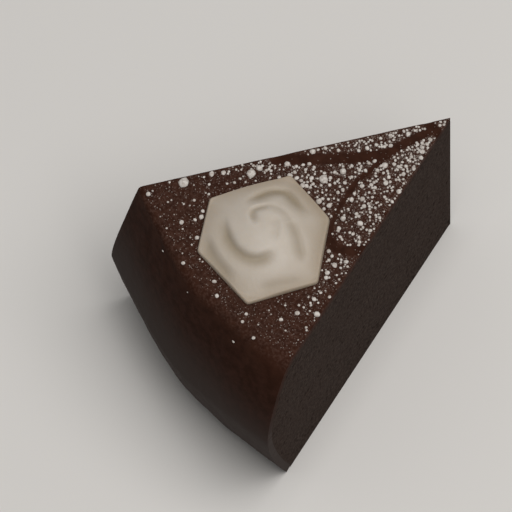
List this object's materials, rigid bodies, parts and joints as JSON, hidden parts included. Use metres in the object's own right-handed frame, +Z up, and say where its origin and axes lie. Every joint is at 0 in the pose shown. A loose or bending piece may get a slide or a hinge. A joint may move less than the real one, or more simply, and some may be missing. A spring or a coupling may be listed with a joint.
{
  "type": "slice of chocolate cake",
  "caption": "Wedge-shaped slice of chocolate cake, iced on top and round the outer side, dusted with icing sugar and topped with a swirl of cream.",
  "frame": {"origin": "middle of the slice's bounding box, at its flat base", "axes": "+Z up; +Y from the iced outer side to the cut tip; +X to the right, seen from the outer side"},
  "size_m": [0.0856, 0.1078, 0.0824],
  "materials": {
    "sponge": "dark chocolate sponge, matt, with a fine open crumb",
    "icing": "dark chocolate icing, satin, smeared by a palette knife",
    "sugar": "icing sugar, matt white powder and small lumps",
    "cream": "whipped cream, soft satin, off-white"
  },
  "bodies": {
    "root": {"cake": "sponge", "icing": "icing", "cream": "cream"}
  },
  "joints": []
}
